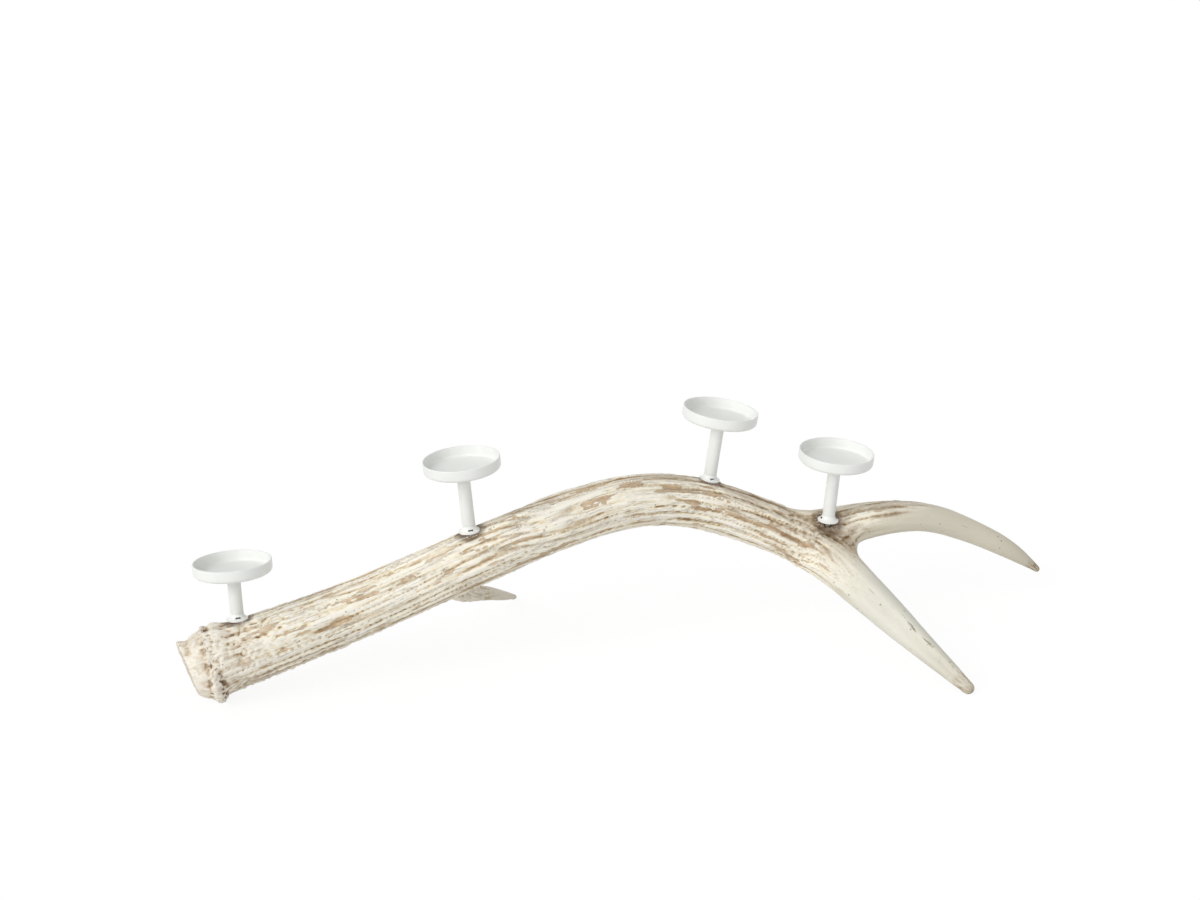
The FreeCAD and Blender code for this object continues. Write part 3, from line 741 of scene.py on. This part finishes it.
def arc(centre, radius, start, end, steps=6):
    """Points on an arc of a turned profile, from one angle to another in degrees."""
    turns = np.radians(np.linspace(start, end, steps + 1))
    return [(centre[0] + radius * math.cos(turn), centre[1] + radius * math.sin(turn)) for turn in turns]


def turned(name, outline):
    """A closed outline of radius and height, in millimetres, turned about Z."""
    verts = []
    for step in range(ROUND):
        turn = 2 * math.pi * step / ROUND
        verts += [(r * math.cos(turn) * MM, r * math.sin(turn) * MM, z * MM) for r, z in outline]
    count = len(outline)
    faces = []
    for step in range(ROUND):
        near, far = step * count, (step + 1) % ROUND * count
        for corner in range(count):
            following = (corner + 1) % count
            faces.append((near + corner, far + corner, far + following, near + following))
    return mesh_object(name, verts, faces)


def make_cup(name):
    """A pressed dish with a rolled-smooth rim, its underside at local zero."""
    inner = CUP_RADIUS - CUP_SHEET
    bend = (CUP_RADIUS - CUP_CORNER, CUP_CORNER)
    lip = CUP_SHEET / 2
    outline = [(RIVET_HOLE - CUP_SHEET, 0), (bend[0] - CRISP_STRIP, 0)]
    outline += arc(bend, CUP_CORNER, -90, 0)
    outline += [(CUP_RADIUS, CUP_HEIGHT - lip - CRISP_STRIP)]
    outline += arc((inner + lip, CUP_HEIGHT - lip), lip, 0, 180)
    outline += [(inner, CUP_CORNER + CRISP_STRIP)]
    outline += arc(bend, CUP_CORNER - CUP_SHEET, 0, -90)
    outline += [(bend[0] - CRISP_STRIP, CUP_SHEET), (RIVET_HOLE + CRISP_STRIP, CUP_SHEET)]
    outline += [(RIVET_HOLE, CUP_SHEET)]
    return turned(name, outline)


def make_post(name, length):
    """A turned post with a softened top, a spigot for its collar and bores for the bolt and the rivet."""
    soft, edge = POST_TOP_ROUNDING, POST_FOOT_ROUNDING
    rivet_end = length - RIVET_BORE_DEPTH
    outline = [(POST_BORE, SPIGOT_FOOT), (SPIGOT_RADIUS, SPIGOT_FOOT)]
    outline += [(SPIGOT_RADIUS, POST_SHOULDER - edge), (SPIGOT_RADIUS, POST_SHOULDER)]
    outline += [(POST_RADIUS - edge, POST_SHOULDER)]
    outline += arc((POST_RADIUS - edge, POST_SHOULDER + edge), edge, -90, 0, 2)
    outline += [(POST_RADIUS, length - soft - CRISP_STRIP)]
    outline += arc((POST_RADIUS - soft, length - soft), soft, 0, 90)
    outline += [(RIVET_BORE, length), (RIVET_BORE, rivet_end), (OFF_AXIS, rivet_end),
                (OFF_AXIS, POST_BORE_TOP), (POST_BORE, POST_BORE_TOP)]
    return turned(name, outline)


def thread_at(z, length):
    """A bolt's outer radius, thread pitch and thread depth at a height above its tip."""
    point = POINT_WIDTH + (1 - POINT_WIDTH) * z / BOLT_POINT
    outer = BOLT_RADIUS * min(1, point, TOP_WIDTH + (length - z) / TOP_TAPER)
    if z < BOLT_SHANK[0]:
        return outer, WOOD_PITCH, WOOD_DEPTH
    return outer, MACHINE_PITCH, 0 if z <= BOLT_SHANK[1] else MACHINE_DEPTH


def make_bolt(name):
    """A hanger bolt with its tip at local zero: a wood thread below, a machine thread above."""
    length = BOLT_DEPTH + BOLT_ABOVE
    around = THREAD_SIDES
    rows = int(length / (MACHINE_PITCH / THREAD_ROWS)) + 1
    verts = []
    for row in range(rows):
        z = length * row / (rows - 1)
        outer, pitch, depth = thread_at(z, length)
        for step in range(around):
            phase = (z / pitch - step / around) % 1
            radius = max(outer - depth * abs(2 * phase - 1), LEAST_RADIUS)
            turn = 2 * math.pi * step / around
            verts.append((radius * math.cos(turn) * MM, radius * math.sin(turn) * MM, z * MM))
    faces = [tuple(range(around - 1, -1, -1)), tuple(range((rows - 1) * around, rows * around))]
    for row in range(rows - 1):
        for step in range(around):
            following = (step + 1) % around
            faces.append((row * around + step, row * around + following,
                          (row + 1) * around + following, (row + 1) * around + step))
    return mesh_object(name, verts, faces)


def holder_pieces(holder, paint, steel):
    """New pieces, each with the node it replaces, its body, its height on the axis, material and slot."""
    length = POST_LENGTHS[holder]
    cup = make_cup(f"turned_cup_{holder}")
    post = make_post(f"turned_post_{holder}", length)
    bolt = make_bolt(f"threaded_bolt_{holder}")
    return [
        (cup, f"candle_cup_{holder}", f"holder_{holder}", length, paint, "white_paint"),
        (post, f"post_{holder}", f"holder_{holder}", 0, paint, "white_paint"),
        (bolt, f"hanger_bolt_{holder}", "antler", -BOLT_DEPTH, steel, "zinc_steel"),
    ]


def make_holders(paint, steel):
    """The turned and threaded pieces of each candle holder, set on its post's axis."""
    for holder, turn in TURNS.items():
        axis = Vector(turn["axis"])
        lean = Vector((0, 0, 1)).rotation_difference(axis).to_matrix().to_4x4()
        for obj, node, body, lift, material, slot in holder_pieces(holder, paint, steel):
            obj.matrix_world = Matrix.Translation(Vector(turn["pos_m"]) + axis * lift * MM) @ lean
            obj.data.materials.append(material)
            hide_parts(node)
            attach(obj, body)


# Materials

def srgb(red, green, blue):
    """A colour as it is seen on a screen, 0 to 255, as the renderer's own numbers."""
    def linear(value):
        value /= 255
        return value / 12.92 if value <= 0.04045 else ((value + 0.055) / 1.055) ** 2.4
    return (linear(red), linear(green), linear(blue), 1)


def grey(value):
    return (value, value, value, 1)


class Nodes:
    """Short ways to add and join the nodes of a material or of the world."""

    def __init__(self, owner):
        self.owner = owner
        owner.use_nodes = True
        self.tree = owner.node_tree

    def add(self, kind, inputs=None, **settings):
        node = self.tree.nodes.new(kind)
        for key, value in settings.items():
            setattr(node, key, value)
        for key, value in (inputs or {}).items():
            self.put(node.inputs[key], value)
        return node

    def put(self, socket, value):
        if isinstance(value, bpy.types.NodeSocket):
            self.tree.links.new(value, socket)
        else:
            socket.default_value = value

    def shade(self, **inputs):
        """Set the main shader's inputs, with an underscore for each space in their names."""
        shader = self.tree.nodes["Principled BSDF"]
        for name, value in inputs.items():
            self.put(shader.inputs[name.replace("_", " ")], value)

    def attribute(self, name, output="Fac"):
        return self.add("ShaderNodeAttribute", attribute_name=name).outputs[output]

    def object_place(self):
        return self.add("ShaderNodeTexCoord").outputs["Object"]

    def math(self, operation, first, second=0.0, clamp=False):
        inputs = {0: first, 1: second}
        return self.add("ShaderNodeMath", inputs, operation=operation, use_clamp=clamp).outputs[0]

    def times(self, first, second):
        return self.math("MULTIPLY", first, second)

    def mix(self, factor, first, second):
        inputs = {"Factor": factor, 6: first, 7: second}
        return self.add("ShaderNodeMix", inputs, data_type="RGBA", blend_type="MIX").outputs[2]

    def lay(self, colour, paint, mask, strength):
        """A paint over a colour, where its mask is and as strong as told."""
        return self.mix(self.times(mask, strength), colour, paint)

    def ramp(self, factor, *stops):
        """Colours as they are seen on a screen, each at its place from 0 to 1."""
        node = self.add("ShaderNodeValToRGB", {"Fac": factor})
        elements = node.color_ramp.elements
        while len(elements) < len(stops):
            elements.new(0.5)
        for element, (place, *colour) in zip(elements, stops):
            element.position = place
            element.color = srgb(*colour)
        return node.outputs["Color"]

    def noise(self, vector, scale, detail, roughness):
        return self.add("ShaderNodeTexNoise", {"Vector": vector, "Scale": scale, "Detail": detail,
                                               "Roughness": roughness}).outputs["Fac"]

    def band(self, value, low, high):
        """0 below low and 1 above high."""
        node = self.add("ShaderNodeMapRange", {"Value": value, "From Min": low, "From Max": high},
                        interpolation_type="SMOOTHSTEP")
        return node.outputs["Result"]

    def between(self, value, low, high):
        """A value from 0 to 1 brought to a range."""
        node = self.add("ShaderNodeMapRange", {"Value": value, "To Min": low, "To Max": high})
        return node.outputs["Result"]

    def dots(self, vector, scale, size, share):
        """Round specks of about a size, in a share of the cells."""
        cell = self.add("ShaderNodeTexVoronoi", {"Vector": vector, "Scale": scale, "Randomness": 1.0})
        near = self.band(cell.outputs["Distance"], size, size * 0.4)
        return self.times(near, self.band(cell.outputs["Color"], 1 - share, 1.02 - share))

    def seen_by(self, *rays):
        """1 for rays of these kinds, 0 for others."""
        path = self.add("ShaderNodeLightPath")
        seen = 0.0
        for ray in rays:
            seen = self.math("MAXIMUM", seen, path.outputs[f"Is {ray} Ray"])
        return seen

    def bump(self, height, strength, distance):
        node = self.add("ShaderNodeBump", {"Height": height, "Strength": strength, "Distance": distance})
        return node.outputs["Normal"]


class AntlerLook(Nodes):
    """The noises and masks that the antler's colours share."""

    def __init__(self):
        super().__init__(bpy.data.materials.new("whitewashed_antler"))
        self.grain = self.attribute("grain", "Vector")
        self.place = self.object_place()
        self.streak = self.noise(self.grain, scale=1.2, detail=5, roughness=0.65)
        self.lines = self.noise(self.grain, scale=2.6, detail=3, roughness=0.6)
        self.wave = self.noise(self.grain, scale=0.9, detail=2, roughness=0.5)
        self.flecks = self.noise(self.place, scale=700, detail=3, roughness=0.6)
        self.patches = self.noise(self.place, scale=30, detail=3, roughness=0.55)
        self.zones = self.noise(self.place, scale=17, detail=2, roughness=0.5)
        self.tine = self.attribute("tine")
        self.relief = self.attribute("height")
        self.crust = self.attribute("crust")
        self.height = self.weighed(relief=1.1, streak=0.45, lines=0.25, flecks=0.38, patches=0.25)
        self.left = self.weighed(crust=1, zones=-0.20, flecks=0.12)
        self.bare = self.band(self.left, 0.328, 0.304)
        self.groove = grooves(self)
        self.specks = self.math("MAXIMUM", self.dots(self.place, scale=210, size=0.16, share=0.34),
                                self.dots(self.place, scale=420, size=0.22, share=0.14))

    def weighed(self, **weights):
        """A sum of this look's values by their names, each with its weight, taken about 0.5."""
        total = 0.5
        for name, weight in weights.items():
            share = self.times(self.math("SUBTRACT", getattr(self, name), 0.5), weight)
            total = self.math("ADD", share, total)
        return total


def grooves(n):
    """Painted shade: thin broken lines along the grain, and the bottoms of the beam's valleys."""
    swing = n.noise(n.grain, scale=0.55, detail=3, roughness=0.5)
    middle = n.math("ABSOLUTE", n.math("SUBTRACT", swing, 0.5))
    fine = n.times(n.band(middle, 0.018, 0.005), n.band(n.patches, 0.36, 0.52))
    broken = n.band(n.weighed(flecks=1, lines=0.8), 0.30, 0.56)
    return n.math("MAXIMUM", n.times(fine, 0.7), n.times(n.attribute("crease_shade"), broken))


def whitewash(n):
    """Thin wash, darker in the hollows, and places where it lies thick."""
    thin = n.ramp(n.height, (0.04, 132, 104, 72), (0.19, 190, 165, 129), (0.33, 224, 206, 174),
                  (0.47, 241, 226, 198), (0.63, 250, 240, 217), (0.82, 255, 250, 234))
    thick = n.ramp(n.height, (0.08, 192, 168, 134), (0.30, 233, 219, 194),
                   (0.50, 247, 237, 217), (0.80, 254, 249, 236))
    return n.mix(n.band(n.left, 0.580, 0.640), thin, thick)


def bare_bone(n, colour):
    """Tan bone in long patches where the crust has flaked off, ringed by a painted shadow of the crust's edge,
    and dark brown lines of painted shade along the grain and in the valleys.
    """
    tone = n.weighed(streak=1, lines=0.6, flecks=0.5)
    light = n.ramp(tone, (0.26, 190, 158, 121), (0.50, 214, 187, 154), (0.74, 232, 214, 188))
    deep = n.ramp(tone, (0.26, 168, 132, 93), (0.50, 200, 168, 130), (0.74, 228, 207, 177))
    tan = n.mix(n.attribute("crown"), light, deep)
    # Painted shadow of the crust's broken edge: a brown line where it steps down to bare bone
    rim = n.math("SUBTRACT", n.band(n.left, 0.350, 0.324), n.band(n.left, 0.320, 0.294), clamp=True)
    colour = n.lay(colour, tan, n.bare, 0.80)
    colour = n.lay(colour, srgb(140, 111, 78), rim, 0.42)
    # Dark brown painted shade along the grain and in the valley bottoms
    return n.lay(colour, srgb(130, 102, 70), n.groove, 0.66)


def burr_bone(n, colour):
    """Greyer bone towards the burr, and painted shade in the crevices between the coronet's pearls, darkest on
    the underside.
    """
    bone = n.ramp(n.height, (0.08, 134, 110, 82), (0.28, 198, 178, 153),
                  (0.50, 224, 211, 192), (0.85, 243, 236, 223))
    crevice_shade_mask = n.times(n.attribute("crevice_shade"), n.band(n.height, 0.58, 0.32))
    colour = n.lay(colour, bone, n.attribute("burr"), 0.75)
    # Painted shade in the coronet's crevices, darkest on the underside
    return n.lay(colour, srgb(92, 70, 47), crevice_shade_mask, 0.95)


def ivory(n, colour):
    """Smooth ivory on the tines: pale on the front tine, and a darker, warmer copy on the rear and brow tines
    as painted shade.
    """
    tone = n.weighed(height=1, patches=0.35, zones=0.25, streak=0.25, lines=0.20)
    # Painted shade: the rear and brow tines' ivory, darker and warmer than the front tine's
    shaded = n.ramp(tone, (0.05, 140, 122, 94), (0.26, 186, 175, 151),
                    (0.50, 207, 199, 178), (0.85, 220, 213, 195))
    pale = n.ramp(tone, (0.05, 146, 132, 108), (0.26, 194, 189, 171),
                  (0.50, 211, 208, 194), (0.85, 220, 218, 205))
    return n.mix(n.tine, colour, n.mix(n.attribute("front_tine"), shaded, pale))


def stains_and_shade(n, colour):
    """Brown dirt on top of the fork and the rear tine, darker brown on the crown's up-facing tops, brown with
    painted shade on the brow tine's root, and a brown stain with painted shade beneath the collars round the
    posts' feet.
    """
    brown = n.ramp(n.height, (0.10, 78, 59, 41), (0.34, 124, 102, 77),
                   (0.58, 163, 143, 117), (0.84, 208, 193, 170))
    cloudy = n.band(n.weighed(patches=1, streak=0.9), 0.22, 0.54)
    streaky = n.band(n.weighed(streak=1, flecks=0.6), 0.22, 0.52)
    # Brown dirt on the fork and rear tine, darker brown on the crown's tops, and dirt with painted shade on
    # the brow tine's root
    colour = n.lay(colour, brown, n.times(n.attribute("stain_and_shade"), cloudy), 0.66)
    # Round the posts' feet: brown stain, with painted shade beneath the collars
    return n.lay(colour, srgb(96, 71, 50), n.times(n.attribute("seat_stain_and_shade"), streaky), 0.85)


def cut_and_tips(n, colour):
    """The burr's porous sawn face, and tips that turn greyer and then brown."""
    pores = n.noise(n.place, scale=900, detail=2, roughness=0.7)
    face = n.ramp(pores, (0.36, 176, 158, 134), (0.52, 226, 217, 201), (0.66, 240, 235, 224))
    tip = n.attribute("tip")
    streaky = n.band(n.weighed(streak=1, lines=0.6), 0.46, 0.54)
    colour = n.lay(colour, face, n.attribute("end_face"), 0.85)
    colour = n.lay(colour, srgb(186, 178, 160), tip, 0.55)
    return n.lay(colour, srgb(140, 112, 78), n.times(n.band(tip, 0.86, 0.97), streaky), 0.80)


def wear(n, colour):
    """Nicks along the front tine's edge, scuffs on the tines, and dark specks everywhere."""
    broken = n.band(n.weighed(wave=1, flecks=0.3), 0.51, 0.56)
    nicks = n.times(n.band(n.attribute("arris"), 0.45, 0.80), broken)
    scuffs = n.times(n.dots(n.grain, scale=0.42, size=0.20, share=0.30), n.tine)
    colour = n.lay(colour, srgb(116, 104, 80), nicks, 0.80)
    colour = n.lay(colour, srgb(158, 146, 118), scuffs, 0.50)
    return n.lay(colour, srgb(100, 82, 62), n.specks, 0.75)


def bone_bump(n):
    """Fine roughness on the bone, and little on the ivory."""
    rough = n.weighed(streak=0.7, lines=0.7, flecks=0.8, bare=-0.5, groove=-0.6)
    soft = n.weighed(flecks=0.12, specks=-0.4)
    bone = n.math("SUBTRACT", 1.0, n.tine, clamp=True)
    level = n.math("ADD", n.times(rough, bone), n.times(soft, n.tine))
    return n.bump(level, strength=0.65, distance=0.0007)


def antler_material():
    """Whitewash rubbed over ridged bone: pale ridges, tan hollows, and smooth ivory on the tines."""
    n = AntlerLook()
    colour = whitewash(n)
    for layer in (bare_bone, burr_bone, ivory, stains_and_shade, cut_and_tips, wear):
        colour = layer(n, colour)
    n.shade(Base_Color=colour, Roughness=n.between(n.tine, 0.85, 0.55), Specular_IOR_Level=0.35,
            Normal=bone_bump(n))
    return n.owner


def paint_material():
    """Satin white paint over steel, very slightly uneven."""
    n = Nodes(bpy.data.materials.new("white_paint"))
    place = n.object_place()
    cloud = n.noise(place, scale=60, detail=3, roughness=0.5)
    peel = n.noise(place, scale=900, detail=2, roughness=0.5)
    white = n.ramp(cloud, (0.25, 231, 233, 229), (0.75, 239, 240, 237))
    n.shade(Base_Color=white, Roughness=n.between(cloud, 0.34, 0.46), Specular_IOR_Level=0.5,
            Normal=n.bump(peel, strength=0.08, distance=0.0003))
    return n.owner


def steel_material():
    """Zinc-plated steel, dulled and a little brown."""
    n = Nodes(bpy.data.materials.new("zinc_steel"))
    cloud = n.noise(n.object_place(), scale=300, detail=4, roughness=0.6)
    zinc = n.ramp(cloud, (0.3, 112, 96, 78), (0.7, 160, 152, 140))
    n.shade(Base_Color=zinc, Roughness=n.between(cloud, 0.32, 0.52), Metallic=1)
    return n.owner


# Camera, floor and light

def make_camera():
    camera = bpy.data.objects.new("camera", bpy.data.cameras.new("camera"))
    camera.data.sensor_fit = "HORIZONTAL"
    camera.data.sensor_width = CAMERA_SENSOR
    camera.data.lens = CAMERA_LENS
    camera.location = CAMERA_PLACE
    camera.rotation_euler = (math.radians(CAMERA_TILT), 0, 0)
    bpy.context.scene.collection.objects.link(camera)
    bpy.context.scene.camera = camera


def floor_material():
    """Matt white that takes a shadow, lifted to the background's white by a glow that lights nothing."""
    n = Nodes(bpy.data.materials.new("white_floor"))
    n.tree.nodes.remove(n.tree.nodes["Principled BSDF"])
    matt = n.add("ShaderNodeBsdfDiffuse", {"Color": grey(FLOOR_GREY)})
    glow = n.add("ShaderNodeEmission", {"Color": grey(1.0), "Strength": FLOOR_GLOW})
    share = n.times(n.seen_by("Camera", "Glossy", "Transmission"), FLOOR_GLOW_SHARE)
    blend = n.add("ShaderNodeMixShader", {"Fac": share, 1: matt.outputs[0], 2: glow.outputs[0]})
    n.put(n.tree.nodes["Material Output"].inputs["Surface"], blend.outputs[0])
    return n.owner


def make_floor():
    square = ((-1, -1), (1, -1), (1, 1), (-1, 1))
    corners = [(x * FLOOR_REACH, y * FLOOR_REACH, 0) for x, y in square]
    floor = mesh_object("floor", corners, [(0, 1, 2, 3)])
    floor.data.materials.append(floor_material())


def make_sun(name, towards, strength, spread):
    sun = bpy.data.lights.new(name, "SUN")
    sun.energy = strength
    sun.angle = math.radians(spread)
    lamp = bpy.data.objects.new(name, sun)
    lamp.rotation_euler = Vector(towards).to_track_quat("-Z", "Y").to_euler()
    bpy.context.scene.collection.objects.link(lamp)


def make_sky():
    """A white sky that gives less light than it shows."""
    world = bpy.data.worlds.new("studio")
    bpy.context.scene.world = world
    n = Nodes(world)
    background = n.tree.nodes["Background"]
    n.put(background.inputs["Color"], grey(1.0))
    n.put(background.inputs["Strength"], n.between(n.seen_by("Camera", "Glossy"), SKY_LIGHT, SKY_SEEN))


def make_light():
    for name, sun in SUNS.items():
        make_sun(name, *sun)
    make_sky()


make_camera()
make_floor()
make_light()
make_antler()
paint = paint_material()
make_holders(paint, steel_material())
for name, node in NODES.items():
    if name.startswith(("foot_collar", "cup_rivet")):
        node.data.materials.clear()
        node.data.materials.append(paint)

bpy.context.scene.view_settings.view_transform = "Standard"
